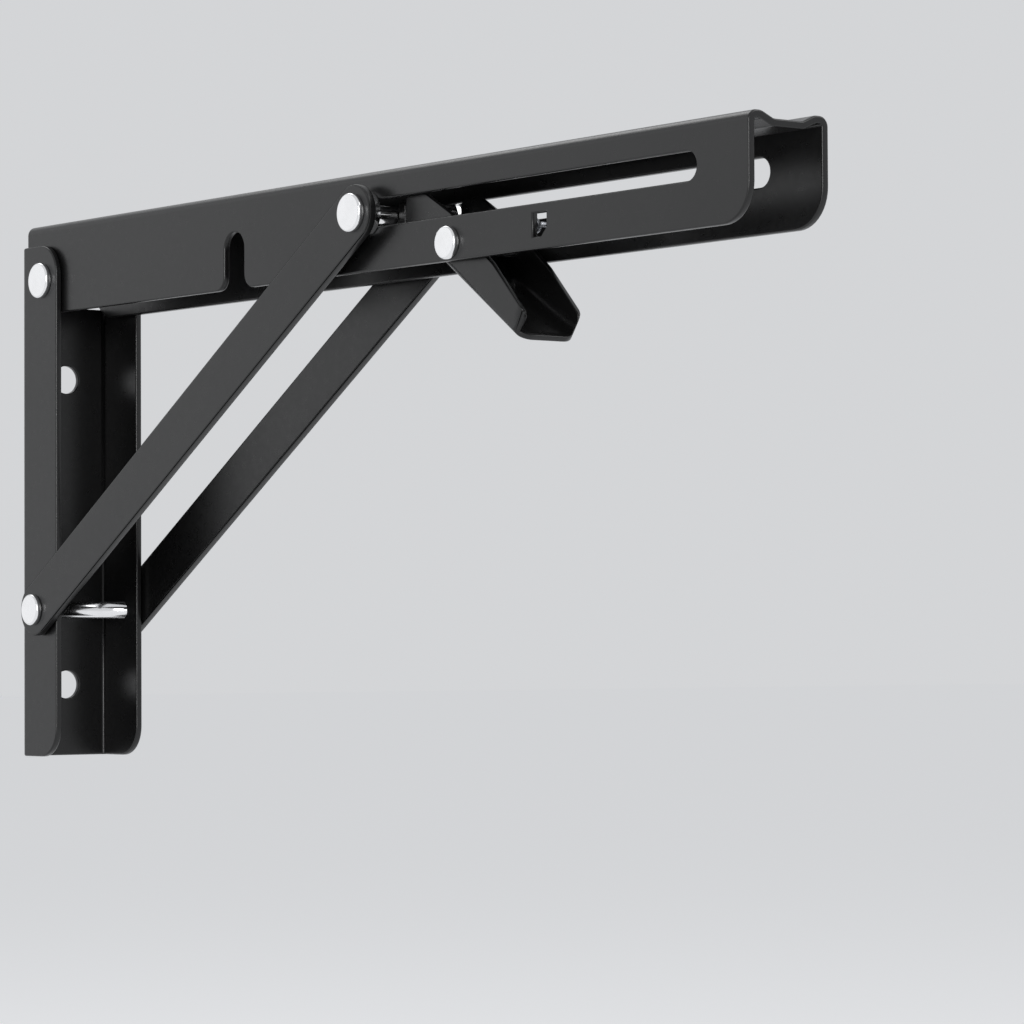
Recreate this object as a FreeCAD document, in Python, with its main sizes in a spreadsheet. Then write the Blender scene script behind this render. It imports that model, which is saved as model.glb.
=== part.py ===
import FreeCAD, Part
import Sketcher
import math
import os

# Folding shelf bracket, open and locked, as it hangs on its wall.
# X points away from the wall along the open arm, Y runs across the bracket and Z points up.
# The origin lies on the wall face, midway between the two wall holes.

SIZES = [
    # wall channel
    ("leg_width", 27.4, "outside width of the wall channel"),
    ("leg_depth", 18.5, "how far the wall channel stands off the wall"),
    ("leg_height", 139.0, "height of the wall channel"),
    ("leg_sheet", 1.8, "sheet of the wall channel"),
    ("leg_bend", 2.6, "outside radius of its bends"),
    ("leg_top_round", 8.4, "round on the top front corners"),
    ("leg_foot_round", 8.0, "round on the bottom front corners"),
    ("leg_back_round", 2.0, "round on the top back corners"),
    ("leg_web_drop", 6.2, "how far the web stops below the arm pivot"),
    ("wall_hole", 7.6, "diameter of a wall hole"),
    ("wall_hole_pitch", 84.0, "distance between the wall holes"),
    # pivots, seen from the wall and from the arm pivot
    ("pivot_out", 11.1, "arm pivot, from the wall"),
    ("pivot_up", 68.0, "arm pivot, above the middle of the wall holes"),
    ("pivot_to_top", 9.6, "arm pivot, below the top of the wall channel"),
    ("foot_drop", 89.6, "brace pivot, below the arm pivot"),
    ("slide_out", 148.6, "slide rivet in the open bracket, beyond the arm pivot"),
    ("slide_rise", 5.1, "middle of the slot, above the arm pivot"),
    ("lever_reach", 32.6, "lever rivet, beyond the slide rivet in the open bracket"),
    ("lever_drop", 4.6, "lever rivet, below the arm pivot"),
    # shelf arm
    ("arm_width", 23.3, "outside width of the arm"),
    ("arm_sheet", 1.8, "sheet of the arm"),
    ("arm_bend", 2.4, "outside radius of its bends"),
    ("arm_rise", 15.6, "top of the arm above the pivot"),
    ("arm_skirt", 8.9, "bottom of the flanges below the pivot"),
    ("arm_gap", 0.3, "gap from the arm's back end to the wall"),
    ("arm_reach", 300.0, "tip of the arm, from the wall"),
    ("arm_tip_round", 9.0, "round on the lower tip corners"),
    ("arm_tail_round", 9.0, "round on the lower back corners"),
    ("swage_top", 15.6, "width of the stiffening groove at its top"),
    ("swage_floor", 8.4, "width of its floor"),
    ("swage_depth", 1.6, "depth of the groove"),
    ("swage_round", 3.0, "radius of the groove's edges"),
    ("slot_margin", 20.9, "centre of the slot's outer end, from the tip of the arm"),
    ("notch_width", 8.8, "width of the notch that clears the brace pivot"),
    ("notch_shift", 0.7, "centre of the notch beyond the folded brace pivot"),
    ("notch_rise", 1.3, "centre of the notch's round, above the pivot"),
    ("notch_flare", 3.6, "round on the mouth of the notch"),
    ("shelf_hole", 5.6, "diameter of a shelf hole"),
    ("shelf_hole_first", 50.0, "first shelf hole, from the wall"),
    ("shelf_hole_pitch", 100.0, "distance between the shelf holes"),
    ("anchor_out", 34.4, "spring window, beyond the lever rivet"),
    ("anchor_drop", 3.2, "middle of the spring window, below the pivot"),
    ("anchor_wide", 5.0, "width of the spring window"),
    ("anchor_high", 5.4, "height of the spring window"),
    ("anchor_clip", 1.8, "cut across its lower corner"),
    # braces
    ("brace_sheet", 2.2, "thickness of a brace"),
    ("brace_width", 14.0, "width of a brace"),
    ("brace_gap", 0.4, "gap between the wall channel and a brace"),
    ("brace_edge", 0.3, "bevel on a brace's edges"),
    # release lever
    ("lever_gap", 0.8, "gap between the arm's flange and the lever"),
    ("lever_sheet", 1.4, "sheet of the lever"),
    ("lever_bend", 1.9, "outside radius of its bends"),
    ("web_offset", 6.9, "outside of the lever's web, below its rivet"),
    ("web_angle", 35.0, "slope of the lever's web below the arm"),
    ("web_start", 9.0, "start of the web, behind the rivet"),
    ("handle_length", 32.7, "end of the handle, beyond the rivet along the web"),
    ("handle_lip", 1.5, "how far the web's lip stands out beyond the cheeks"),
    ("corner_drop", 0.5, "top of the cheeks' end below the rivet, across the web"),
    ("corner_round", 1.8, "round on that corner"),
    ("handle_shoulder", 14.5, "widest place of the handle, along the web"),
    ("shoulder_rise", 2.8, "height of that place above the rivet, across the web"),
    ("lip_round", 4.5, "round on the corners of the lip"),
    ("joggle_start", 21.2, "where the plates start to bend inwards, behind the rivet"),
    ("joggle_run", 5.6, "length of that bend"),
    ("joggle_radius", 1.2, "inside radius of its two turns"),
    ("nose_width", 8.6, "outside width of the lever at the slide rivet"),
    ("hook_wall", 2.8, "metal left of the slide rivet"),
    ("hook_front", 2.6, "metal right of the slide rivet"),
    ("hook_floor", 3.4, "metal under the slide rivet"),
    ("dip_start", 20.5, "start of the dip between hook and ramp, behind the lever rivet"),
    ("dip_room", 0.25, "gap between the floor of the dip and the passing slide rivet"),
    ("dip_round", 1.2, "round on the corners of the dip"),
    ("hook_lip", 1.2, "lip behind the slide rivet, above its middle"),
    ("hook_top", 3.2, "top of the hook above the middle of the slot"),
    ("ramp_start", 12.4, "top of the ramp, behind the lever rivet"),
    ("ramp_end", 2.9, "foot of the ramp, behind the lever rivet"),
    ("ramp_foot", 7.4, "foot of the ramp, above the lever rivet"),
    ("eye_back", 4.0, "spring hole in the lever, behind its rivet"),
    ("eye_rise", 4.8, "spring hole in the lever, above its rivet"),
    ("eye_hole", 1.8, "diameter of the spring hole"),
    # rivets and spacers
    ("pivot_pin", 4.6, "diameter of the arm, brace and slide rivets"),
    ("lever_pin", 5.0, "diameter of the lever rivet"),
    ("pin_play", 0.05, "radial play of a turning rivet"),
    ("slot_play", 1.0, "play between the slide rivet and the slot"),
    ("hook_room", 0.3, "play between the slide rivet and the hook"),
    ("pivot_head", 9.6, "diameter of the arm rivet's heads"),
    ("foot_head", 8.4, "diameter of the brace rivet's heads"),
    ("slide_head", 9.5, "diameter of the slide rivet's heads"),
    ("lever_head", 8.0, "diameter of the lever rivet's heads"),
    ("head_height", 1.6, "height of a rivet head"),
    ("head_bevel", 0.35, "bevel round a rivet head"),
    ("head_play", 0.05, "gap under a head that turns on its sheet"),
    ("spacer_width", 11.0, "diameter of a spacer on the slide rivet"),
    ("spacer_play", 0.1, "gap beside a spacer"),
    ("hook_play", 0.1, "gap between a hook plate and a length of the slide rivet"),
    # return spring
    ("coil_width", 4.2, "outside diameter of the spring's coil"),
    ("coil_length", 12.0, "length of the coil"),
    ("coil_tail", 11.0, "straight wire between the coil and the spring window"),
    ("coil_wire", 0.8, "wire of the spring"),
    ("coil_inset", 2.2, "gap between the lever's plate and the spring's middle"),
]


class Size:
    """A length or angle: its number now, and the sheet expression that it follows."""

    def __init__(self, value, text):
        self.value = value
        self.text = text

    def __add__(self, other):
        other = as_size(other)
        return Size(self.value + other.value, f"({self.text} + {other.text})")

    def __sub__(self, other):
        other = as_size(other)
        return Size(self.value - other.value, f"({self.text} - {other.text})")

    def __mul__(self, other):
        other = as_size(other)
        return Size(self.value * other.value, f"({self.text} * {other.text})")

    def __truediv__(self, other):
        other = as_size(other)
        return Size(self.value / other.value, f"({self.text} / {other.text})")

    def __neg__(self):
        return Size(-self.value, f"(0 - {self.text})")


def as_size(item):
    return item if isinstance(item, Size) else Size(float(item), repr(float(item)))


def root_of(item):
    return Size(math.sqrt(item.value), f"sqrt({item.text})")


def sine(angle):
    return Size(math.sin(math.radians(angle.value)), f"sin({angle.text} * 1 deg)")


def cosine(angle):
    return Size(math.cos(math.radians(angle.value)), f"cos({angle.text} * 1 deg)")


doc = FreeCAD.newDocument("FoldingShelfBracket")
sheet = doc.addObject("Spreadsheet::Sheet", "Sizes")
for row, (alias, number, meaning) in enumerate(SIZES, start=1):
    sheet.set(f"A{row}", meaning)
    sheet.set(f"B{row}", str(number))
    sheet.setAlias(f"B{row}", alias)
doc.recompute()


def size(alias):
    return Size(float(getattr(sheet, alias)), f"Sizes.{alias}")


# Named places that several pieces share, worked out from the sheet.
leg_half = size("leg_width") / 2
leg_inside = leg_half - size("leg_sheet")
leg_top = size("pivot_up") + size("pivot_to_top")
leg_bottom = leg_top - size("leg_height")
arm_half = size("arm_width") / 2
arm_inside = arm_half - size("arm_sheet")
arm_top = size("pivot_up") + size("arm_rise")
arm_bottom = size("pivot_up") - size("arm_skirt")
brace_inner = leg_half + size("brace_gap")
brace_outer = brace_inner + size("brace_sheet")
lever_half = arm_inside - size("lever_gap")
lever_inside = lever_half - size("lever_sheet")
nose_half = size("nose_width") / 2
nose_inside = nose_half - size("lever_sheet")
pin_radius = size("pivot_pin") / 2
slot_radius = pin_radius + size("slot_play")
slot_height = size("pivot_up") + size("slide_rise")
slide_x = size("pivot_out") + size("slide_out")
foot_height = size("pivot_up") - size("foot_drop")
lever_x = slide_x + size("lever_reach")
lever_z = size("pivot_up") - size("lever_drop")
brace_rise = size("foot_drop") + size("slide_rise")
brace_length = root_of(size("slide_out") * size("slide_out") + brace_rise * brace_rise)
brace_angle = math.degrees(math.atan2(brace_rise.value, size("slide_out").value))

# How far the slide rivet travels, and whether the slot lets it: the folded arm lies
# along the wall, so the rivet ends straight below both pivots.
folded_slide = size("foot_drop").value + math.sqrt(brace_length.value ** 2 - size("slide_rise").value ** 2)
print(f"slide rivet: open {size('slide_out').value:.3f}, folded {folded_slide:.3f} mm from the pivot")
print(f"brace: length {brace_length.value:.3f} mm, angle {brace_angle:.4f} deg")


# Drawing helpers

def new_body(label):
    body = doc.addObject("PartDesign::Body", label)
    body.Label = label
    return body


def new_sketch(body, role, name, offset=None):
    """A sketch on one of the body's own planes, moved along its normal by offset."""
    sketch = body.newObject("Sketcher::SketchObject", name)
    plane = next(item for item in body.Origin.OriginFeatures if item.Role == role)
    sketch.AttachmentSupport = [(plane, "")]
    sketch.MapMode = "FlatFace"
    if offset is not None:
        sketch.AttachmentOffset = FreeCAD.Placement(FreeCAD.Vector(0, 0, offset.value), FreeCAD.Rotation())
        sketch.setExpression("AttachmentOffset.Base.z", offset.text)
    return sketch


def bind(sketch, kind, targets, amount):
    """One driving dimension of a sketch, bound to the sheet."""
    number = sketch.addConstraint(Sketcher.Constraint(kind, *targets, amount.value))
    sketch.setExpression(f"Constraints[{number}]", amount.text)


def place(sketch, geometry, point, across, along):
    """Fixes one point of a sketch at its distances from the origin."""
    bind(sketch, "DistanceX", (-1, 1, geometry, point), across)
    bind(sketch, "DistanceY", (-1, 1, geometry, point), along)


def outline(sketch, corners):
    """A closed outline of straight lines; each corner is a pair of sizes."""
    corners = [(as_size(across), as_size(along)) for across, along in corners]
    spots = [FreeCAD.Vector(across.value, along.value, 0) for across, along in corners]
    count, first = len(corners), sketch.GeometryCount
    for index in range(count):
        sketch.addGeometry(Part.LineSegment(spots[index], spots[(index + 1) % count]))
    for index in range(count):
        sketch.addConstraint(Sketcher.Constraint("Coincident", first + index, 2, first + (index + 1) % count, 1))
    for index, (across, along) in enumerate(corners):
        place(sketch, first + index, 1, across, along)


def circle(sketch, across, along, diameter):
    across, along = as_size(across), as_size(along)
    centre = FreeCAD.Vector(across.value, along.value, 0)
    number = sketch.addGeometry(Part.Circle(centre, FreeCAD.Vector(0, 0, 1), diameter.value / 2))
    place(sketch, number, 3, across, along)
    bind(sketch, "Diameter", (number,), diameter)


def rounded_slot(sketch, start, end, radius):
    """A slot with round ends between two centres, level or upright."""
    start = tuple(as_size(item) for item in start)
    end = tuple(as_size(item) for item in end)
    first = FreeCAD.Vector(start[0].value, start[1].value, 0)
    last = FreeCAD.Vector(end[0].value, end[1].value, 0)
    run = (last - first).normalize()
    side = FreeCAD.Vector(-run.y, run.x, 0) * radius.value
    turn = math.atan2(run.y, run.x)
    axis = FreeCAD.Vector(0, 0, 1)
    base = sketch.addGeometry(Part.LineSegment(first - side, last - side))
    quarter = math.pi / 2
    sketch.addGeometry(Part.ArcOfCircle(Part.Circle(last, axis, radius.value), turn - quarter, turn + quarter))
    sketch.addGeometry(Part.LineSegment(last + side, first + side))
    sketch.addGeometry(Part.ArcOfCircle(Part.Circle(first, axis, radius.value), turn + quarter, turn - quarter))
    for step in range(4):
        following = base + (step + 1) % 4
        sketch.addConstraint(Sketcher.Constraint("Tangent", base + step, 2, following, 1))
    place(sketch, base + 1, 3, *end)
    place(sketch, base + 3, 3, *start)
    bind(sketch, "Radius", (base + 1,), radius)


def feature(body, kind, name, sketch, length, reverse=False, both=False):
    """A pad or pocket of one sketch, with its length bound to the sheet."""
    item = body.newObject(f"PartDesign::{kind}", name)
    item.Profile = sketch
    item.Type = "Length"
    if both:
        item.SideType = "Symmetric"
    item.Reversed = reverse
    length = as_size(length)
    item.Length = length.value
    item.setExpression("Length", length.text)
    sketch.Visibility = False
    doc.recompute()
    return item


def pocket(body, name, sketch, length, reverse=False, both=False):
    """A pocket that has to take metal away."""
    before = body.Tip.Shape.Volume
    item = feature(body, "Pocket", name, sketch, length, reverse, both)
    if not item.Shape.Volume < before:
        raise RuntimeError(f"{body.Label}: {name} cuts nothing")
    return item


def edges_near(shape, spots, direction, reach=0.05):
    """Names of the straight edges along one axis that pass through the given spots.

    A spot is a pair of sizes: the two coordinates that an edge along the axis keeps.
    """
    axis = "XYZ".index(direction)
    kept = [index for index in range(3) if index != axis]
    names = []
    for number, edge in enumerate(shape.Edges, start=1):
        if edge.Curve.TypeId != "Part::GeomLine":
            continue
        start, end = edge.Vertexes[0].Point, edge.Vertexes[-1].Point
        if any(abs(start[index] - end[index]) > reach for index in kept):
            continue
        for spot in spots:
            if all(abs(start[index] - as_size(at).value) < reach for index, at in zip(kept, spot)):
                names.append(f"Edge{number}")
    return names


def rounded(body, name, spots, direction, radius):
    """A fillet on the edges along one axis at the given spots."""
    base = body.Tip
    names = edges_near(base.Shape, spots, direction)
    if not names:
        raise RuntimeError(f"{body.Label}: {name} finds no edge")
    item = body.newObject("PartDesign::Fillet", name)
    item.Base = (base, names)
    item.Radius = radius.value
    item.setExpression("Radius", radius.text)
    doc.recompute()
    return item


def turned(label, profile, x, z):
    """A round piece about a cross axis: profile holds radius and distance along the axis."""
    body = new_body(label)
    sketch = new_sketch(body, "XY_Plane", f"{label}_profile")
    outline(sketch, profile)
    item = body.newObject("PartDesign::Revolution", f"{label}_turned")
    item.Profile = sketch
    item.ReferenceAxis = (sketch, ["V_Axis"])
    item.Angle = 360
    sketch.Visibility = False
    body.Placement = FreeCAD.Placement(FreeCAD.Vector(x.value, 0, z.value), FreeCAD.Rotation())
    body.setExpression("Placement.Base.x", x.text)
    body.setExpression("Placement.Base.z", z.text)
    doc.recompute()
    return body


def mirrored_pair(across, along):
    return [(across, along), (-across, along)]


def mirrored_sides(along, across):
    return [(along, across), (along, -across)]


def corner_cut(sketch, end, edge, radius, side):
    """The metal outside one rounded corner, at the given end and side edge of a plate."""
    turn = end - radius
    centre = (edge - radius) * side
    beyond, outside = end + radius, (edge + radius) * side
    spots = [(turn, edge * side), (turn, outside), (beyond, outside), (beyond, centre), (end, centre)]
    points = [FreeCAD.Vector(across.value, along.value, 0) for across, along in spots]
    first = sketch.GeometryCount
    for index in range(4):
        sketch.addGeometry(Part.LineSegment(points[index], points[index + 1]))
    middle = FreeCAD.Vector(turn.value, centre.value, 0)
    round_edge = Part.Circle(middle, FreeCAD.Vector(0, 0, 1), radius.value)
    quarter = math.pi / 2
    sweep = (0, quarter) if side > 0 else (-quarter, 0)
    arc = sketch.addGeometry(Part.ArcOfCircle(round_edge, *sweep))
    for index in range(3):
        sketch.addConstraint(Sketcher.Constraint("Coincident", first + index, 2, first + index + 1, 1))
    end_point, start_point = (1, 2) if side > 0 else (2, 1)
    sketch.addConstraint(Sketcher.Constraint("Coincident", first + 3, 2, arc, end_point))
    sketch.addConstraint(Sketcher.Constraint("Coincident", first, 1, arc, start_point))
    for index in (1, 2, 3):
        place(sketch, first + index, 1, *spots[index])
    bind(sketch, "DistanceX", (-1, 1, first, 1), turn)
    bind(sketch, "DistanceY", (-1, 1, first + 3, 2), centre)
    place(sketch, arc, 3, turn, centre)
    bind(sketch, "Radius", (arc,), radius)


# Wall channel: one folded sheet, web to the wall, flanges outwards.

def make_wall_leg():
    body = new_body("wall_leg")
    depth, sheet_size = size("leg_depth"), size("leg_sheet")
    section = new_sketch(body, "XY_Plane", "leg_section", leg_bottom)
    outline(section, [(0, -leg_half), (depth, -leg_half), (depth, -leg_inside), (sheet_size, -leg_inside),
                      (sheet_size, leg_inside), (depth, leg_inside), (depth, leg_half), (0, leg_half)])
    feature(body, "Pad", "leg_channel", section, size("leg_height"))
    rounded(body, "leg_outer_bends", [(0, leg_half), (0, -leg_half)], "Z", size("leg_bend"))
    inner_bends = [(sheet_size, leg_inside), (sheet_size, -leg_inside)]
    rounded(body, "leg_inner_bends", inner_bends, "Z", size("leg_bend") - sheet_size)
    rounded(body, "leg_top_corners", [(depth, leg_top)], "Y", size("leg_top_round"))
    rounded(body, "leg_foot_corners", [(depth, leg_bottom)], "Y", size("leg_foot_round"))

    # The web stops short of the top, so that the arm's back end can turn.
    relief = new_sketch(body, "XZ_Plane", "web_relief")
    web_top = size("pivot_up") - size("leg_web_drop")
    beyond = size("leg_bend") + sheet_size
    outline(relief, [(-beyond, web_top), (beyond, web_top), (beyond, leg_top + beyond), (-beyond, leg_top + beyond)])
    pocket(body, "web_relief_cut", relief, leg_inside * 2, both=True)

    pivots = new_sketch(body, "XZ_Plane", "leg_pivots")
    circle(pivots, size("pivot_out"), size("pivot_up"), size("pivot_pin"))
    circle(pivots, size("pivot_out"), foot_height, size("pivot_pin"))
    pocket(body, "leg_pivot_holes", pivots, size("leg_width") * 2, both=True)

    screws = new_sketch(body, "YZ_Plane", "wall_holes")
    for side in (1, -1):
        circle(screws, 0, size("wall_hole_pitch") / 2 * side, size("wall_hole"))
    pocket(body, "wall_hole_cut", screws, sheet_size * 4, both=True)
    return body


# Shelf arm: one folded sheet, web up under the shelf with a pressed groove, flanges down.

def arm_section():
    half, inside, gauge = arm_half, arm_inside, size("arm_sheet")
    brow, floor, depth = size("swage_top") / 2, size("swage_floor") / 2, size("swage_depth")
    # The groove's underside stays parallel to its top, so its corners shift sideways.
    slope = math.atan2(depth.value, brow.value - floor.value)
    shift = gauge * math.tan(slope / 2)
    right = [(half, arm_bottom), (half, arm_top), (brow, arm_top), (floor, arm_top - depth)]
    under = [(floor + shift, arm_top - depth - gauge), (brow + shift, arm_top - gauge),
             (inside, arm_top - gauge), (inside, arm_bottom)]
    left = [(-across, along) for across, along in reversed(right)]
    left_under = [(-across, along) for across, along in reversed(under)]
    swage = {"top": mirrored_pair(brow, arm_top) + mirrored_pair(floor, arm_top - depth),
             "under": mirrored_pair(*under[0]) + mirrored_pair(*under[1])}
    return right + left + left_under + under, swage


def make_shelf_arm():
    body = new_body("shelf_arm")
    tip, tail = size("arm_reach"), size("arm_gap")
    section = new_sketch(body, "YZ_Plane", "arm_section", tail)
    corners, swage = arm_section()
    outline(section, corners)
    feature(body, "Pad", "arm_channel", section, tip - tail)
    gauge = size("arm_sheet")
    rounded(body, "arm_outer_bends", mirrored_pair(arm_half, arm_top), "X", size("arm_bend"))
    rounded(body, "arm_inner_bends", mirrored_pair(arm_inside, arm_top - gauge), "X", size("arm_bend") - gauge)
    rounded(body, "swage_top_edges", swage["top"], "X", size("swage_round"))
    rounded(body, "swage_under_edges", swage["under"], "X", size("swage_round"))
    rounded(body, "arm_tip_corners", [(tip, arm_bottom)], "Y", size("arm_tip_round"))
    rounded(body, "arm_tail_corners", [(tail, arm_bottom)], "Y", size("arm_tail_round"))
    across = size("arm_width") * 2

    slot = new_sketch(body, "XZ_Plane", "slide_slot")
    rounded_slot(slot, (slide_x, slot_height), (tip - size("slot_margin"), slot_height), slot_radius)
    pocket(body, "slide_slot_cut", slot, across, both=True)

    # The folded arm drops over the brace pivot: the notch's mouth is rounded to lead it in.
    notch = new_sketch(body, "XZ_Plane", "pivot_notch")
    notch_x = size("pivot_out") + size("foot_drop") + size("notch_shift")
    notch_top = size("pivot_up") + size("notch_rise")
    radius = size("notch_width") / 2
    rounded_slot(notch, (notch_x, arm_bottom - radius * 2), (notch_x, notch_top), radius)
    pocket(body, "pivot_notch_cut", notch, across, both=True)
    mouth = [(notch_x - radius, arm_bottom), (notch_x + radius, arm_bottom)]
    rounded(body, "notch_mouth", mouth, "Y", size("notch_flare"))

    pivots = new_sketch(body, "XZ_Plane", "arm_pivots")
    circle(pivots, size("pivot_out"), size("pivot_up"), size("pivot_pin") + size("pin_play") * 2)
    circle(pivots, lever_x, lever_z, size("lever_pin"))
    pocket(body, "arm_pivot_holes", pivots, across, both=True)

    # The window that the spring hooks into is in the near flange only.
    window = new_sketch(body, "XZ_Plane", "spring_window")
    near, far = [lever_x + size("anchor_out") + size("anchor_wide") / 2 * side for side in (-1, 1)]
    low, high = [size("pivot_up") - size("anchor_drop") + size("anchor_high") / 2 * side for side in (-1, 1)]
    clip = size("anchor_clip")
    outline(window, [(near, low), (far - clip, low), (far, low + clip), (far, high), (near, high)])
    pocket(body, "spring_window_cut", window, size("arm_width"), reverse=True)

    screws = new_sketch(body, "XY_Plane", "shelf_holes", arm_top)
    for index in range(3):
        circle(screws, size("shelf_hole_first") + size("shelf_hole_pitch") * index, 0, size("shelf_hole"))
    pocket(body, "shelf_hole_cut", screws, (size("swage_depth") + gauge) * 3, both=True)
    return body


# Braces: two flat bars with round ends, outside the wall channel, one on each side.

def make_brace(label, side):
    body = new_body(label)
    bar = new_sketch(body, "XZ_Plane", f"{label}_bar", brace_inner if side < 0 else -brace_outer)
    rounded_slot(bar, (0, 0), (brace_length, 0), size("brace_width") / 2)
    feature(body, "Pad", f"{label}_plate", bar, size("brace_sheet"))
    holes = new_sketch(body, "XZ_Plane", f"{label}_holes")
    circle(holes, 0, 0, size("pivot_pin") + size("pin_play") * 2)
    circle(holes, brace_length, 0, size("pivot_pin"))
    pocket(body, f"{label}_hole_cut", holes, brace_outer * 3, both=True)
    rim = [f"Edge{number}" for number, edge in enumerate(body.Tip.Shape.Edges, start=1) if is_rim(edge)]
    plate = body.Tip
    bevel = body.newObject("PartDesign::Chamfer", f"{label}_bevel")
    bevel.Base = (plate, rim)
    bevel.Size = size("brace_edge").value
    bevel.setExpression("Size", size("brace_edge").text)
    turn = FreeCAD.Rotation(FreeCAD.Vector(0, 1, 0), -brace_angle)
    body.Placement = FreeCAD.Placement(FreeCAD.Vector(size("pivot_out").value, 0, foot_height.value), turn)
    doc.recompute()
    return body


def is_rim(edge):
    """An edge of a brace's outline, on either face, and not of its holes."""
    flat = abs(edge.BoundBox.YLength) < 1e-6
    hole = edge.Curve.TypeId == "Part::GeomCircle" and edge.Curve.Radius < size("brace_width").value / 2 - 0.1
    return flat and not hole


# Release lever: a small channel inside the arm. Its two plates hook over the slide rivet, and
# its web slopes out below the arm as a handle. Its own origin is the lever rivet.

def along_web(distance, rise):
    """A spot given along the web and across it, as seen from the lever rivet."""
    distance, rise = as_size(distance), as_size(rise)
    angle = size("web_angle")
    return (distance * cosine(angle) + rise * sine(angle), rise * cosine(angle) - distance * sine(angle))


def make_release_lever():
    body = new_body("release_lever")
    slide_back = size("lever_reach")
    slide_over = size("lever_drop") + size("slide_rise")
    hook_radius = pin_radius + size("hook_room")
    hook_back = -(slide_back + hook_radius + size("hook_wall"))
    hook_low = slide_over - hook_radius - size("hook_floor")
    hook_high = slide_over + size("hook_top")
    dip_end = slide_back - hook_radius - size("hook_front")
    dip_floor = slide_over - pin_radius - size("dip_room")
    web_out = -size("web_offset")
    web_in = web_out + size("lever_sheet")
    start, end = along_web(-size("web_start"), web_out), along_web(size("handle_length"), web_out)
    corner = along_web(size("handle_length") - size("handle_lip"), -size("corner_drop"))
    shoulder = along_web(size("handle_shoulder"), size("shoulder_rise"))
    profile = new_sketch(body, "XZ_Plane", "lever_profile")
    outline(profile, [(hook_back, hook_low + size("hook_wall")), (hook_back + size("hook_wall"), hook_low),
                      start, end, along_web(size("handle_length"), web_in),
                      along_web(size("handle_length") - size("handle_lip"), web_in), corner, shoulder,
                      (-size("ramp_end"), size("ramp_foot")), (-size("ramp_start"), hook_high),
                      (-size("dip_start"), hook_high), (-size("dip_start"), dip_floor),
                      (-dip_end, dip_floor), (-dip_end, hook_high), (hook_back, hook_high)])
    feature(body, "Pad", "lever_block", profile, lever_half * 2, both=True)
    rounded(body, "handle_corner_round", [corner], "Y", size("corner_round"))
    dip = [(-along, rise) for along in (size("dip_start"), dip_end) for rise in (dip_floor, hook_high)]
    rounded(body, "dip_corners", dip, "Y", size("dip_round"))

    # The plates bend inwards on their way to the slide rivet, first their outsides.
    joggle = size("joggle_start")
    joggle_end = joggle + size("joggle_run")
    drop = lever_half - nose_half
    lean = (root_of(size("joggle_run") * size("joggle_run") + drop * drop) - size("joggle_run")) / drop
    clear = size("handle_length") * 2
    flanks = new_sketch(body, "XY_Plane", "lever_flanks")
    for side in (1, -1):
        outline(flanks, [(-joggle, lever_half * side), (-joggle_end, nose_half * side),
                         (hook_back * 2, nose_half * side), (hook_back * 2, lever_half * 2 * side),
                         (-joggle, lever_half * 2 * side)])
    pocket(body, "lever_flank_cut", flanks, clear * 2, both=True)
    bent, tight = size("joggle_radius") + size("lever_sheet"), size("joggle_radius")
    rounded(body, "joggle_start_outside", mirrored_sides(-joggle, lever_half), "Z", bent)
    rounded(body, "joggle_end_outside", mirrored_sides(-joggle_end, nose_half), "Z", tight)

    bends = sloped_edges(body.Tip.Shape, start, end)
    base = body.Tip
    outer = body.newObject("PartDesign::Fillet", "lever_outer_bends")
    outer.Base = (base, bends)
    outer.Radius = size("lever_bend").value
    outer.setExpression("Radius", size("lever_bend").text)
    doc.recompute()

    # Everything between the plates is open but for the web.
    inner = new_sketch(body, "XZ_Plane", "lever_hollow")
    behind = along_web(-size("web_start"), web_out - size("lever_sheet"))
    inside_start = -joggle + lean * size("lever_sheet")
    outline(inner, [behind, along_web(-size("web_start"), web_in), along_web(clear, web_in),
                    along_web(clear, clear), (inside_start, clear), (inside_start, -clear), (behind[0], -clear)])
    pocket(body, "lever_hollow_cut", inner, lever_inside * 2, both=True)
    nose = new_sketch(body, "XY_Plane", "nose_hollow")
    inside_end = inside_start - size("joggle_run")
    outline(nose, [(inside_start, -lever_inside), (inside_start, lever_inside), (inside_end, nose_inside),
                   (hook_back * 2, nose_inside), (hook_back * 2, -nose_inside), (inside_end, -nose_inside)])
    pocket(body, "nose_hollow_cut", nose, clear * 2, both=True)
    rounded(body, "joggle_start_inside", mirrored_sides(inside_start, lever_inside), "Z", tight)
    rounded(body, "joggle_end_inside", mirrored_sides(inside_end, nose_inside), "Z", bent)

    # The lip of the handle is rounded as seen from below.
    lip_plan = new_sketch(body, "XY_Plane", "lip_plan")
    lip_plan.AttachmentOffset = FreeCAD.Placement(
        FreeCAD.Vector(0, 0, 0), FreeCAD.Rotation(FreeCAD.Vector(0, 1, 0), size("web_angle").value))
    lip_plan.setExpression("AttachmentOffset.Rotation.Angle", "Sizes.web_angle * 1 deg")
    for side in (1, -1):
        corner_cut(lip_plan, size("handle_length"), lever_half, size("lip_round"), side)
    pocket(body, "lip_corner_cut", lip_plan, clear * 2, both=True)

    # The hook: a round-bottomed notch over the slide rivet, with a lower lip behind it.
    hook = new_sketch(body, "XZ_Plane", "lever_hook")
    above = slide_over + size("slide_rise") * 2
    rounded_slot(hook, (-slide_back, slide_over), (-slide_back, above), hook_radius)
    pocket(body, "lever_hook_cut", hook, lever_half * 4, both=True)
    lip = new_sketch(body, "XZ_Plane", "lever_lip")
    lip_top = slide_over + size("hook_lip")
    outline(lip, [(hook_back * 2, lip_top), (-slide_back, lip_top), (-slide_back, above), (hook_back * 2, above)])
    pocket(body, "lever_lip_cut", lip, lever_half * 4, both=True)

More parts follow.
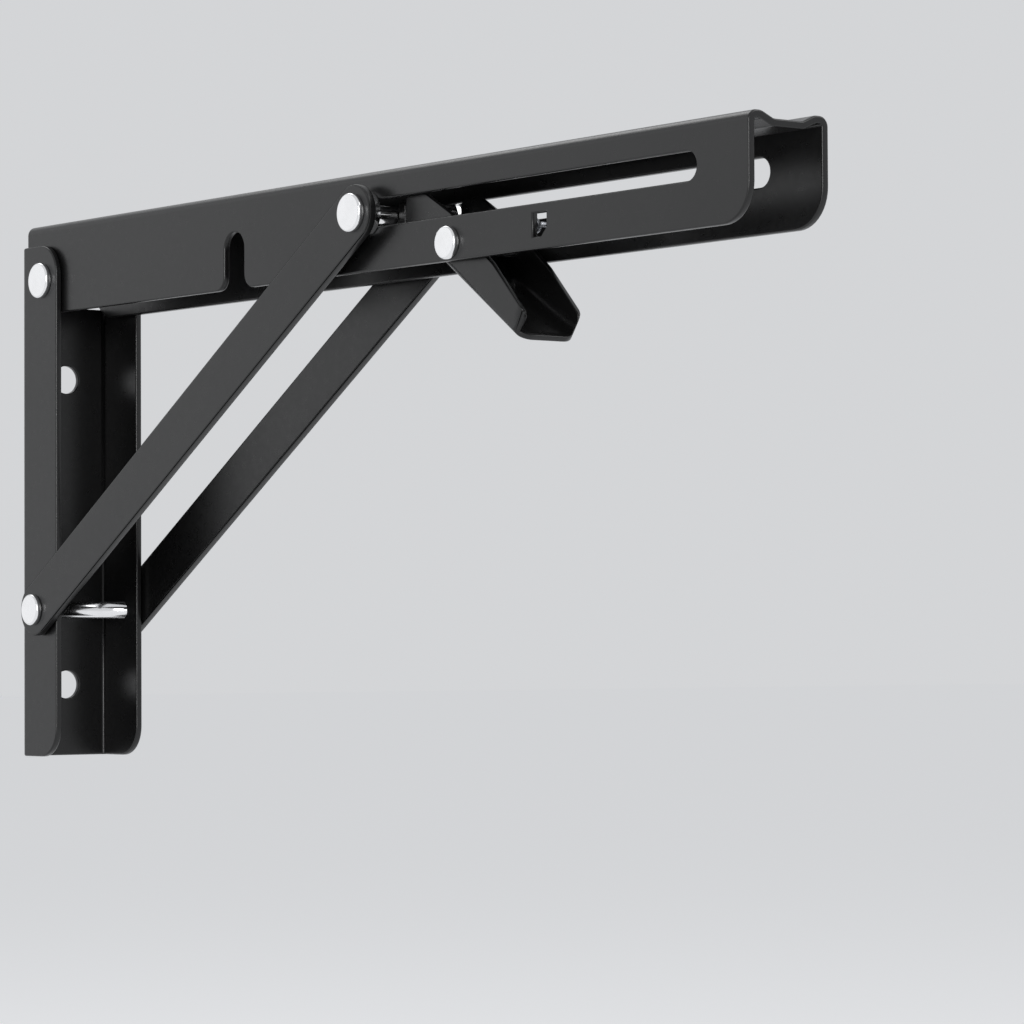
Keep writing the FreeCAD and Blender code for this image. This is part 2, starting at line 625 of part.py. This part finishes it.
    holes = new_sketch(body, "XZ_Plane", "lever_holes")
    circle(holes, 0, 0, size("lever_pin") + size("pin_play") * 2)
    pocket(body, "lever_rivet_hole", holes, lever_half * 4, both=True)
    eye = new_sketch(body, "XZ_Plane", "spring_eye")
    circle(eye, -size("eye_back"), size("eye_rise"), size("eye_hole"))
    pocket(body, "spring_eye_cut", eye, lever_half * 2, reverse=True)
    body.Placement = FreeCAD.Placement(FreeCAD.Vector(lever_x.value, 0, lever_z.value), FreeCAD.Rotation())
    body.setExpression("Placement.Base.x", lever_x.text)
    body.setExpression("Placement.Base.z", lever_z.text)
    doc.recompute()
    return body


def sloped_edges(shape, start, end, reach=0.05):
    """The edges that run from one spot of the lever's outline to another."""
    names = []
    ends = [(start[0].value, start[1].value), (end[0].value, end[1].value)]
    for number, edge in enumerate(shape.Edges, start=1):
        found = [(vertex.Point.x, vertex.Point.z) for vertex in edge.Vertexes]
        if len(found) == 2 and all(min(math.dist(spot, one) for one in found) < reach for spot in ends):
            names.append(f"Edge{number}")
    return names


# Rivets, all across the bracket.

def rivet_profile(head, pin, seat, bevel):
    """Half of a rivet with a flat head at each end, its heads seated at the given distance."""
    shank, rim = pin / 2, head / 2
    top = seat + size("head_height")
    upper = [(shank, seat), (rim, seat), (rim, top - bevel), (rim - bevel, top), (0, top)]
    lower = [(across, -along) for across, along in reversed(upper)]
    return lower + upper


def make_rivets():
    bevel = size("head_bevel")
    pin = size("pivot_pin")
    turned("arm_pivot_rivet", rivet_profile(size("pivot_head"), pin, leg_half, bevel),
           size("pivot_out"), size("pivot_up"))
    turned("brace_pivot_rivet", rivet_profile(size("foot_head"), pin, brace_outer + size("head_play"), bevel),
           size("pivot_out"), foot_height)
    turned("lever_rivet", rivet_profile(size("lever_head"), size("lever_pin"), arm_half, bevel),
           lever_x, lever_z)


# The slide rivet rides in the slot. Its shaft is in five lengths, because the lever's plates cross
# its way in four narrow gaps. Its two heads belong to the braces and are pieces of their own.

def make_slide_rivet():
    gap, outer_end = size("hook_play"), brace_inner - size("spacer_play")
    middle = nose_inside - gap
    spans = [("middle", -middle, middle * 2),
             ("near_inner", -(lever_inside - gap), lever_inside - nose_half - gap * 2),
             ("far_inner", nose_half + gap, lever_inside - nose_half - gap * 2),
             ("near", -outer_end, outer_end - lever_half - gap),
             ("far", lever_half + gap, outer_end - lever_half - gap)]
    lengths = []
    for name, start, span in spans:
        shaft = doc.addObject("Part::Cylinder", f"slide_shaft_{name}")
        shaft.setExpression("Radius", pin_radius.text)
        shaft.setExpression("Height", span.text)
        spot = FreeCAD.Vector(slide_x.value, start.value, slot_height.value)
        shaft.Placement = FreeCAD.Placement(spot, FreeCAD.Rotation(FreeCAD.Vector(1, 0, 0), -90))
        shaft.setExpression("Placement.Base.x", slide_x.text)
        shaft.setExpression("Placement.Base.y", start.text)
        shaft.setExpression("Placement.Base.z", slot_height.text)
        lengths.append(shaft)
    rivet = doc.addObject("Part::Compound", "slide_rivet")
    rivet.Label = "slide_rivet"
    rivet.Links = lengths
    doc.recompute()
    return rivet


def make_spacers():
    inner, outer = pin_radius, size("spacer_width") / 2
    low, high = arm_half + size("spacer_play"), brace_inner - size("spacer_play")
    for label, side in (("slide_spacer_near", -1), ("slide_spacer_far", 1)):
        ring = [(inner, low * side), (outer, low * side), (outer, high * side), (inner, high * side)]
        turned(label, ring, slide_x, slot_height)


def make_slide_heads():
    bevel = size("head_bevel")
    shank, rim = pin_radius, size("slide_head") / 2
    seat, top = brace_outer, brace_outer + size("head_height")
    for label, side in (("slide_head_near", -1), ("slide_head_far", 1)):
        profile = [(0, brace_inner * side), (shank, brace_inner * side), (shank, seat * side), (rim, seat * side),
                   (rim, (top - bevel) * side), (rim - bevel, top * side), (0, top * side)]
        turned(label, profile, slide_x, slot_height)


# Return spring: a close coil with a hooked wire end in the lever and one in the arm's window.

def wire_rod(path, diameter):
    """A round rod along straight runs, with a ball at each turn."""
    pieces = []
    for start, end in zip(path, path[1:]):
        run = end - start
        pieces.append(Part.makeCylinder(diameter / 2, run.Length, start, run))
    for corner in path[1:-1]:
        pieces.append(Part.makeSphere(diameter / 2, corner))
    return pieces


def make_return_spring():
    wire, middle = size("coil_wire").value, -(lever_inside - size("coil_inset")).value
    eye = FreeCAD.Vector(lever_x.value - size("eye_back").value, middle, lever_z.value + size("eye_rise").value)
    anchor_x = lever_x.value + size("anchor_out").value + size("anchor_wide").value / 2 - wire
    anchor = FreeCAD.Vector(anchor_x, middle, size("pivot_up").value - size("anchor_drop").value)
    line = (anchor - eye).normalize()
    coil_end = anchor - line * size("coil_tail").value
    coil_start = coil_end - line * size("coil_length").value
    near_lever = FreeCAD.Vector(eye.x, -lever_half.value, eye.z)
    near_flange = FreeCAD.Vector(anchor.x, -arm_half.value, anchor.z)
    coil = Part.makeCylinder(size("coil_width").value / 2, size("coil_length").value, coil_start, line)
    rods = wire_rod([near_lever, eye, coil_start + line * wire], wire)
    rods += wire_rod([coil_end - line * wire, anchor, near_flange], wire)
    spring = doc.addObject("Part::Feature", "return_spring")
    spring.Label = "return_spring"
    spring.Shape = coil.multiFuse(rods).removeSplitter()
    doc.recompute()
    return spring


make_wall_leg()
make_shelf_arm()
make_brace("brace_near", -1)
make_brace("brace_far", 1)
make_release_lever()
make_rivets()
make_slide_rivet()
make_spacers()
make_slide_heads()
make_return_spring()
doc.recompute()

NODES = ["wall_leg", "arm_pivot_rivet", "brace_pivot_rivet", "shelf_arm", "lever_rivet", "release_lever",
         "return_spring", "slide_rivet", "slide_spacer_near", "slide_spacer_far", "brace_near", "brace_far",
         "slide_head_near", "slide_head_far"]

# Nothing is written unless every object came out sound.
for item in doc.Objects:
    if "Invalid" in item.State or "Error" in item.State:
        raise RuntimeError(f"{item.Label} failed: {item.State}")
os.makedirs("parts", exist_ok=True)
pieces = {item.Label: item for item in doc.Objects if item.Label in NODES}
for label in NODES:
    shape = pieces[label].Shape
    if shape.isNull() or not shape.isValid():
        raise RuntimeError(f"{label} has no sound shape")
    solids = len(shape.Solids)
    print(f"{label}: {solids} solid(s), {shape.Volume / 1000:.3f} cm3, {shape.BoundBox}")
for label in NODES:
    pieces[label].Shape.exportStep(f"parts/{label}.step")
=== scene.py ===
import math

import bmesh
import bpy
from mathutils import Matrix, Vector


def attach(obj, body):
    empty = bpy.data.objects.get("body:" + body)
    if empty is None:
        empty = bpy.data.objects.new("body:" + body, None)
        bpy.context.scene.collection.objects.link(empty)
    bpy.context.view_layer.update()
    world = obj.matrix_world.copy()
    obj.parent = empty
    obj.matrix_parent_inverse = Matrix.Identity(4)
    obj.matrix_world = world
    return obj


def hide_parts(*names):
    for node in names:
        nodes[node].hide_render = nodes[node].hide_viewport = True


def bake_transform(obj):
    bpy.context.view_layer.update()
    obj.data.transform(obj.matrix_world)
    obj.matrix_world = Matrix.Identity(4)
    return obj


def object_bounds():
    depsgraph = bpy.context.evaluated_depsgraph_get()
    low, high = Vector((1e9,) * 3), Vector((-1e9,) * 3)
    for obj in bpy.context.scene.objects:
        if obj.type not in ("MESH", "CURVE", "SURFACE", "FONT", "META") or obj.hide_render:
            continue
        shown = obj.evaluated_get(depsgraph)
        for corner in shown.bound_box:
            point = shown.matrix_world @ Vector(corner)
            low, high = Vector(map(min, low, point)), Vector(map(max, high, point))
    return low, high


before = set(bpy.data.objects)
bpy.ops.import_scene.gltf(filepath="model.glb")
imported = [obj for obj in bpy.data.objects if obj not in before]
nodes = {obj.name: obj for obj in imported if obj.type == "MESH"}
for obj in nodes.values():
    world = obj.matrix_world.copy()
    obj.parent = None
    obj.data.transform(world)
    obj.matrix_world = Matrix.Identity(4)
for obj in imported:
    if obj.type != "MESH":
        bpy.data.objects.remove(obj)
cad_box = [list(corner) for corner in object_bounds()]

# Places and sizes that pieces share with the solids, in metres
ARM_PIVOT = Vector((0.0111, 0.0, 0.068))
SLIDE_RIVET = Vector((0.1597, 0.0, 0.0731))
SLIDE_RADIUS = 0.0023
SLIDE_HALF = 0.014
SPRING_EYE = Vector((0.1883, -0.00545, 0.0682))
SPRING_ANCHOR = Vector((0.2284, -0.00545, 0.0648))
EYE_HOOK_END = -0.0097
ANCHOR_HOOK_END = -0.0122
COIL_RADIUS = 0.0017
COIL_TAIL = 0.011
COIL_LENGTH = 0.012

# Spring wire
WIRE_RADIUS = 0.0004
WIRE_BEND = 0.0012
WIRE_SIDES = 10
COIL_TURNS = 14
STEPS_A_TURN = 20
HOOK_LEAD = 0.0016

# Rounded edges. Inner corners stay sharp, and so do edges that come near a kept spot.
WELD = 2e-6
FLAT_ANGLE = math.radians(0.6)
SHARP_ANGLE = math.radians(40)
KEEP_REACH = 0.0025
CHANNEL_ROUND = 0.00045
STRIP_ROUND = 0.0003
RIVET_ROUND = 0.00018
LEG_SPOTS = [(0.0024, side * 0.0118, 0.0618) for side in (-1, 1)]
LEVER_SPOTS = [(along, side * out, up) for side in (-1, 1)
               for along, out, up in ((0.1721, 0.0084, 0.0760), (0.1844, 0.0091, 0.0623))]

# Colours and how dull they are
COAT_DARK = (0.0055, 0.0055, 0.0057)
COAT_LIGHT = (0.0085, 0.0085, 0.0087)
COAT_SMOOTH = 0.27
COAT_DULL = 0.32
STAGE_COLOUR = (0.6, 0.605, 0.615)
PALE = (0.965, 0.978, 1.0)
METAL_DARKER = 0.95

# Fineness of the bump on bright metal, along each axis
TURNED_LINES = (900.0, 5200.0, 900.0)
PLAIN_MOTTLE = (700.0, 700.0, 700.0)

# Stage and sky
STAGE_MIDDLE = 0.15
STAGE_HALF = 15
STAGE_GAP = 0.0005
STAGE_GLOW = 0.55
SKY_LIGHT = 0.2
SKY_SEEN = 0.68

# Camera, solved from the photograph: its axes, and its place from the arm's pivot
SENSOR = 36.0
LENS = 141.45
NEAREST = 0.01
CAMERA_RIGHT = Vector((0.61507617, 0.78845255, -0.0048872))
CAMERA_UP = Vector((0.03045828, -0.01756603, 0.99938167))
CAMERA_BACK = Vector((0.78787918, -0.61484471, -0.03481936))
CAMERA_FROM_PIVOT = (0.94015, -0.58532, -0.10172)

# Lamps: name, direction from the aim, distance, width, height, watts and spread in degrees
LAMP_AIM = Vector((0.15, 0.0, 0.02))
LAMPS = (
    ("key", (-0.70, -0.71, 0.20), 1.3, 1.15, 0.9, 0.9, 180),
    ("strip", (0.58, -0.79, 0.18), 1.35, 0.45, 0.8, 1.95, 90),
    ("top", (-0.6, 0.05, 0.75), 1.3, 0.6, 0.6, 2.2, 180),
    ("back", (0.55, 0.52, 0.66), 1.4, 0.7, 0.7, 3.5, 180),
)


# Materials

def new_material(name):
    material = bpy.data.materials.new(name)
    material.use_nodes = True
    tree = material.node_tree
    return material, tree, tree.nodes["Principled BSDF"]


def add(tree, kind, **settings):
    """A new node; a setting goes to the input of that name, or else to the node itself."""
    node = tree.nodes.new(kind)
    for key, value in settings.items():
        if key in node.inputs:
            node.inputs[key].default_value = value
        else:
            setattr(node, key, value)
    return node


def connect(tree, node, sources):
    """Feeds the node's inputs, given by name or number."""
    for socket, source in sources.items():
        tree.links.new(source, node.inputs[socket])


def noise(tree, place, scale, detail, roughness):
    node = add(tree, "ShaderNodeTexNoise", Scale=scale, Detail=detail, Roughness=roughness)
    connect(tree, node, {"Vector": place})
    return node.outputs["Fac"]


def bump(tree, height, strength, distance, under=None):
    """The surface's normal, raised by height, on top of another bump where there is one."""
    node = add(tree, "ShaderNodeBump", Strength=strength, Distance=distance)
    connect(tree, node, {"Height": height})
    if under is not None:
        connect(tree, node, {"Normal": under})
    return node.outputs["Normal"]


def ramp(tree, source, stops):
    """Source turned into a grey or a colour: each stop is a position and its shade."""
    node = add(tree, "ShaderNodeValToRGB")
    elements = node.color_ramp.elements
    while len(elements) < len(stops):
        elements.new(0.5)
    for element, (position, shade) in zip(elements, stops):
        element.position = position
        element.color = (*shade, 1.0) if isinstance(shade, tuple) else (shade, shade, shade, 1.0)
    connect(tree, node, {"Fac": source})
    return node.outputs["Color"]


def black_coat():
    """Satin black powder coat: a fine leathery grain, dull patches and a slight colour drift."""
    material, tree, shader = new_material("black_coat")
    place = add(tree, "ShaderNodeTexCoord").outputs["Object"]
    drift = noise(tree, place, scale=38.0, detail=3.0, roughness=0.5)
    pores = noise(tree, place, scale=1500.0, detail=3.0, roughness=0.6)
    grain = noise(tree, place, scale=520.0, detail=2.0, roughness=0.5)
    grained = bump(tree, grain, strength=0.06, distance=0.0001)
    connect(tree, shader, {
        "Base Color": ramp(tree, drift, [(0.3, COAT_DARK), (0.7, COAT_LIGHT)]),
        "Roughness": ramp(tree, grain, [(0.3, COAT_SMOOTH), (0.7, COAT_DULL)]),
        "Normal": bump(tree, pores, strength=0.08, distance=0.00003, under=grained),
    })
    return material


def bright_metal(name, shade, dull, turned):
    """Plated steel, with faint turning rings about the cross axis or a plain fine mottle."""
    material, tree, shader = new_material(name)
    place = add(tree, "ShaderNodeTexCoord").outputs["Object"]
    mottle = noise(tree, place, scale=260.0, detail=4.0, roughness=0.6)
    darker = tuple(part * METAL_DARKER for part in shade)
    stretch = add(tree, "ShaderNodeMapping", Scale=TURNED_LINES if turned else PLAIN_MOTTLE)
    connect(tree, stretch, {"Vector": place})
    lines = noise(tree, stretch.outputs["Vector"], scale=1.0, detail=2.0, roughness=0.5)
    shader.inputs["Metallic"].default_value = 1.0
    connect(tree, shader, {
        "Base Color": ramp(tree, mottle, [(0.35, darker), (0.65, shade)]),
        "Roughness": ramp(tree, mottle, [(0.3, dull - 0.02), (0.7, dull + 0.03)]),
        "Normal": bump(tree, lines, strength=0.05, distance=0.00001),
    })
    return material


def seen_rays(tree):
    """One for rays that show a surface directly, mirrored or through glass, else zero."""
    rays = tree.nodes.new("ShaderNodeLightPath").outputs
    seen = rays["Is Camera Ray"]
    for other in ("Is Glossy Ray", "Is Transmission Ray"):
        most = add(tree, "ShaderNodeMath", operation="MAXIMUM")
        connect(tree, most, {0: seen, 1: rays[other]})
        seen = most.outputs[0]
    return seen


def stage_material():
    """Pale and matt; seen directly or mirrored it is lighter by itself, and still takes shadows."""
    material, tree, shader = new_material("pale_stage")
    shader.inputs["Base Color"].default_value = (*STAGE_COLOUR, 1.0)
    shader.inputs["Roughness"].default_value = 1.0
    shader.inputs["Specular IOR Level"].default_value = 0.0
    shader.inputs["Emission Color"].default_value = (*PALE, 1.0)
    glow = add(tree, "ShaderNodeMath", operation="MULTIPLY")
    glow.inputs[1].default_value = STAGE_GLOW
    connect(tree, glow, {0: seen_rays(tree)})
    connect(tree, shader, {"Emission Strength": glow.outputs[0]})
    return material


coat = black_coat()
nickel = bright_metal("bright_rivet", (0.93, 0.93, 0.935), 0.16, False)
steel = bright_metal("polished_pin", (0.88, 0.88, 0.885), 0.12, True)
spring_steel = bright_metal("spring_steel", (0.40, 0.41, 0.43), 0.30, True)


# Pieces

def new_piece(name, mesh, material, body):
    """A smooth-shaded piece in one material. It rides on body, or is still to be blended."""
    piece = bpy.data.objects.new(name, mesh)
    bpy.context.scene.collection.objects.link(piece)
    mesh.materials.clear()
    mesh.materials.append(material)
    for polygon in mesh.polygons:
        polygon.use_smooth = True
        polygon.material_index = 0
    if body:
        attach(piece, body)
    return piece


def is_rounded(edge, keep):
    """Whether an edge is an outer corner with neither an end nor its middle near a kept spot."""
    spots = [vert.co for vert in edge.verts] + [(edge.verts[0].co + edge.verts[1].co) / 2]
    kept = any((spot - Vector(place)).length < KEEP_REACH for spot in spots for place in keep)
    return edge.calc_face_angle_signed(0.0) > SHARP_ANGLE and not kept


def softened(node, body, material, width, clamp=True, keep=()):
    """The node's own shape with its outer edges rounded over, as coated or plated metal has them.

    A spot in keep is a place where edges meet nearly in one line, which rounding would tear open.
    """
    mesh = nodes[node].data.copy()
    shape = bmesh.new()
    shape.from_mesh(mesh)
    bmesh.ops.remove_doubles(shape, verts=shape.verts, dist=WELD)
    bmesh.ops.dissolve_limit(shape, angle_limit=FLAT_ANGLE, verts=shape.verts, edges=shape.edges)
    rounded = shape.edges.layers.float.new("bevel_weight_edge")
    for edge in shape.edges:
        edge[rounded] = 1.0 if is_rounded(edge, keep) else 0.0
    shape.to_mesh(mesh)
    shape.free()
    piece = new_piece(f"{node}_finished", mesh, material, body)
    round_over = piece.modifiers.new("edges", "BEVEL")
    round_over.width = width
    round_over.segments = 2
    round_over.limit_method = "WEIGHT"
    round_over.use_clamp_overlap = clamp
    even = piece.modifiers.new("flat faces", "WEIGHTED_NORMAL")
    even.weight = 100
    even.keep_sharp = True
    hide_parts(node)


def closed_mesh(name, shape):
    """The finished shape as a mesh with its faces looking outwards."""
    bmesh.ops.recalc_face_normals(shape, faces=shape.faces)
    mesh = bpy.data.meshes.new(name)
    shape.to_mesh(mesh)
    shape.free()
    return mesh


def shaft_mesh(name, centre, radius, half, steps=64):
    """A round shaft along the cross axis; each end is a fan of faces about its centre."""
    shape = bmesh.new()
    poles = []
    rings = []
    for along in (-half, half):
        poles.append(shape.verts.new(centre + Vector((0, along, 0))))
        ring = []
        for step in range(steps):
            turn = 2 * math.pi * step / steps
            spoke = Vector((radius * math.cos(turn), along, radius * math.sin(turn)))
            ring.append(shape.verts.new(centre + spoke))
        rings.append(ring)
    near, far = rings
    for step in range(steps):
        after = (step + 1) % steps
        shape.faces.new([poles[0], near[after], near[step]])
        shape.faces.new([near[step], near[after], far[after], far[step]])
        shape.faces.new([far[step], far[after], poles[1]])
    return closed_mesh(name, shape)


def rounded_corners(points, radius, steps=6, most=0.45):
    """The same path with an arc in place of each corner, over at most that share of a leg."""
    path = [points[0]]
    for before, corner, after in zip(points, points[1:], points[2:]):
        into, out = (before - corner), (after - corner)
        reach = min(radius, into.length * most, out.length * most)
        start, end = corner + into.normalized() * reach, corner + out.normalized() * reach
        for step in range(steps + 1):
            share = step / steps
            path.append(start.lerp(corner, share).lerp(corner.lerp(end, share), share))
    path.append(points[-1])
    return path


def wire_mesh(name, path):
    """A round wire along a path, with closed ends."""
    shape = bmesh.new()
    rings = []
    side = Vector((0, 0, 1))
    for index, point in enumerate(path):
        ahead = path[min(index + 1, len(path) - 1)] - path[max(index - 1, 0)]
        ahead.normalize()
        side = (side - ahead * side.dot(ahead)).normalized()
        other = ahead.cross(side)
        ring = []
        for step in range(WIRE_SIDES):
            turn = 2 * math.pi * step / WIRE_SIDES
            spoke = (side * math.cos(turn) + other * math.sin(turn)) * WIRE_RADIUS
            ring.append(shape.verts.new(point + spoke))
        rings.append(ring)
    for lower, upper in zip(rings, rings[1:]):
        for step in range(WIRE_SIDES):
            after = (step + 1) % WIRE_SIDES
            shape.faces.new([lower[step], lower[after], upper[after], upper[step]])
    shape.faces.new(list(reversed(rings[0])))
    shape.faces.new(rings[-1])
    return closed_mesh(name, shape)


# Coated sheet metal
for node, body, width, keep in (
        ("wall_leg", "wall", CHANNEL_ROUND, LEG_SPOTS),
        ("shelf_arm", "arm", CHANNEL_ROUND, ()),
        ("release_lever", "lever", STRIP_ROUND, LEVER_SPOTS),
        ("brace_near", "braces", STRIP_ROUND, ()),
        ("brace_far", "braces", STRIP_ROUND, ())):
    softened(node, body, coat, width, clamp=False, keep=keep)

# Rivets, heads and spacers
for node, body in (
        ("arm_pivot_rivet", "wall"),
        ("brace_pivot_rivet", "wall"),
        ("lever_rivet", "arm"),
        ("slide_head_near", "braces"),
        ("slide_head_far", "braces"),
        ("slide_spacer_near", "slider"),
        ("slide_spacer_far", "slider")):
    softened(node, body, nickel, RIVET_ROUND)

# The slide rivet's shaft, which is cut in the solids, is one piece from brace to brace.
shaft = shaft_mesh("slide_shaft", SLIDE_RIVET, SLIDE_RADIUS, SLIDE_HALF)
slide_shaft = new_piece("slide_shaft", shaft, steel, "slider")
slide_shaft.modifiers.new("seams", "EDGE_SPLIT")
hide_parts("slide_rivet")


def spring_path():
    """Hooked end in the arm's window, a close coil, and a hooked end in the lever's plate.

    Gives the wire's path, and the coil's two ends on its own axis.
    """
    line = (SPRING_EYE - SPRING_ANCHOR).normalized()
    side = Vector((0, 1, 0))
    up = line.cross(side)
    coil_start = SPRING_ANCHOR + line * COIL_TAIL
    coil_end = coil_start + line * COIL_LENGTH
    coil = []
    steps = COIL_TURNS * STEPS_A_TURN
    for step in range(steps + 1):
        share = step / steps
        turn = 2 * math.pi * COIL_TURNS * share
        around = (side * math.cos(turn) + up * math.sin(turn)) * COIL_RADIUS
        coil.append(coil_start.lerp(coil_end, share) + around)
    anchor_hook = [Vector((SPRING_ANCHOR.x, ANCHOR_HOOK_END, SPRING_ANCHOR.z)), SPRING_ANCHOR,
                   SPRING_ANCHOR + line * HOOK_LEAD, coil[0] - up * WIRE_RADIUS]
    lever_hook = [coil[-1] + up * WIRE_RADIUS, coil_end + line * HOOK_LEAD, SPRING_EYE,
                  Vector((SPRING_EYE.x, EYE_HOOK_END, SPRING_EYE.z))]
    first = rounded_corners(anchor_hook, WIRE_BEND)[:-1]
    last = rounded_corners(lever_hook, WIRE_BEND)[1:]
    return first + coil + last, coil_start, coil_end


wire_path, coil_start, coil_end = spring_path()
wire = wire_mesh("coil_spring", wire_path)
spring = new_piece("coil_spring", wire, spring_steel, None)
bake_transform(spring)
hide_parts("return_spring")


# Stage

def pale_floor():
    """A wide floor, just below where the folded arm's tip comes to."""
    low = ARM_PIVOT.z - (cad_box[1][0] - ARM_PIVOT.x) - STAGE_GAP
    corners = ((-STAGE_HALF, -STAGE_HALF), (STAGE_HALF, -STAGE_HALF),
               (STAGE_HALF, STAGE_HALF), (-STAGE_HALF, STAGE_HALF))
    shape = bmesh.new()
    shape.faces.new([shape.verts.new((STAGE_MIDDLE + across, along, low))
                     for across, along in corners])
    mesh = bpy.data.meshes.new("stage")
    shape.to_mesh(mesh)
    shape.free()
    floor = bpy.data.objects.new("stage", mesh)
    bpy.context.scene.collection.objects.link(floor)
    mesh.materials.append(stage_material())


pale_floor()

# Camera
camera_data = bpy.data.cameras.new("camera")
camera_data.sensor_width = SENSOR
camera_data.lens = LENS
camera_data.clip_start = NEAREST
camera = bpy.data.objects.new("camera", camera_data)
bpy.context.scene.collection.objects.link(camera)
camera_place = [pivot + offset for pivot, offset in zip(ARM_PIVOT, CAMERA_FROM_PIVOT)]
camera.matrix_world = Matrix((
    *zip(CAMERA_RIGHT, CAMERA_UP, CAMERA_BACK, camera_place),
    (0, 0, 0, 1)))
bpy.context.scene.camera = camera


# Light

def soft_light(name, direction, distance, width, height, power, spread):
    """A rectangular lamp that looks at the aim from that direction."""
    data = bpy.data.lights.new(name, "AREA")
    data.shape = "RECTANGLE"
    data.size = width
    data.size_y = height
    data.energy = power
    data.spread = math.radians(spread)
    lamp = bpy.data.objects.new(name, data)
    bpy.context.scene.collection.objects.link(lamp)
    spot = LAMP_AIM + Vector(direction).normalized() * distance
    lamp.location = spot
    lamp.rotation_euler = (LAMP_AIM - spot).to_track_quat("-Z", "Y").to_euler()


for lamp_settings in LAMPS:
    soft_light(*lamp_settings)

# The sky lights the object weakly, and is pale wherever it is seen.
world = bpy.data.worlds.new("world")
bpy.context.scene.world = world
world.use_nodes = True
sky_tree = world.node_tree
sky = sky_tree.nodes["Background"]
sky.inputs["Color"].default_value = (*PALE, 1.0)
lift = add(sky_tree, "ShaderNodeMath", operation="MULTIPLY_ADD")
lift.inputs[1].default_value = SKY_SEEN - SKY_LIGHT
lift.inputs[2].default_value = SKY_LIGHT
connect(sky_tree, lift, {0: seen_rays(sky_tree)})
connect(sky_tree, sky, {"Strength": lift.outputs[0]})
bpy.context.scene.view_settings.view_transform = "Standard"
